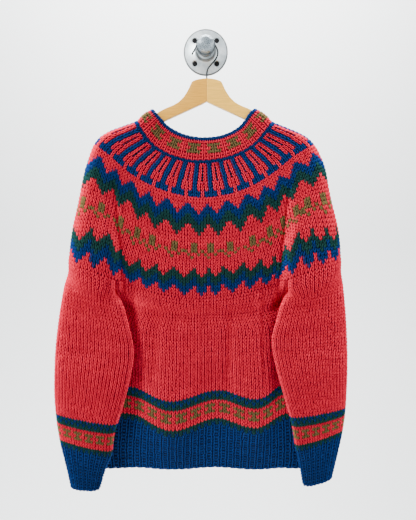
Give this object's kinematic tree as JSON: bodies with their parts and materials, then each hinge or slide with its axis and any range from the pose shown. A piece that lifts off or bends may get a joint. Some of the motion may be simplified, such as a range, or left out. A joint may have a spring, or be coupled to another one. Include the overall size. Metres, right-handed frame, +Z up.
{
  "type": "hand-knit pullover on a hanger",
  "caption": "Round-yoke hand-knit wool pullover with patterned yoke and ribbed neck, hem and cuffs, on a wooden hanger held by a capped pipe fitting on the wall.",
  "frame": {"origin": "middle of the wall flange's flat back, on the wall", "axes": "+Z up, -Y out of the wall towards the viewer, +X to the viewer's right"},
  "size_m": [0.6141, 0.0923, 0.96],
  "materials": {
    "wool_crimson": "matt hand-knit wool",
    "wool_blue": "matt hand-knit wool",
    "beech_varnished": "clear satin varnish",
    "hook_steel": "dull wire",
    "galvanised_iron": "hot-dip galvanised",
    "screw_black": "black"
  },
  "bodies": {
    "root": {"neckband": "wool_crimson", "yoke": "wool_crimson", "body": "wool_crimson", "hem_rib": "wool_blue", "sleeve_left": "wool_crimson", "sleeve_right": "wool_crimson", "cuff_left": "wool_blue", "cuff_right": "wool_blue", "hanger_arm_left": "beech_varnished", "hanger_arm_right": "beech_varnished", "hanger_hook": "hook_steel", "wall_flange": "galvanised_iron", "flange_screw_1": "screw_black", "flange_screw_2": "screw_black", "flange_screw_3": "screw_black", "flange_screw_4": "screw_black", "pipe_nipple": "galvanised_iron", "pipe_cap": "galvanised_iron"}
  },
  "joints": []
}
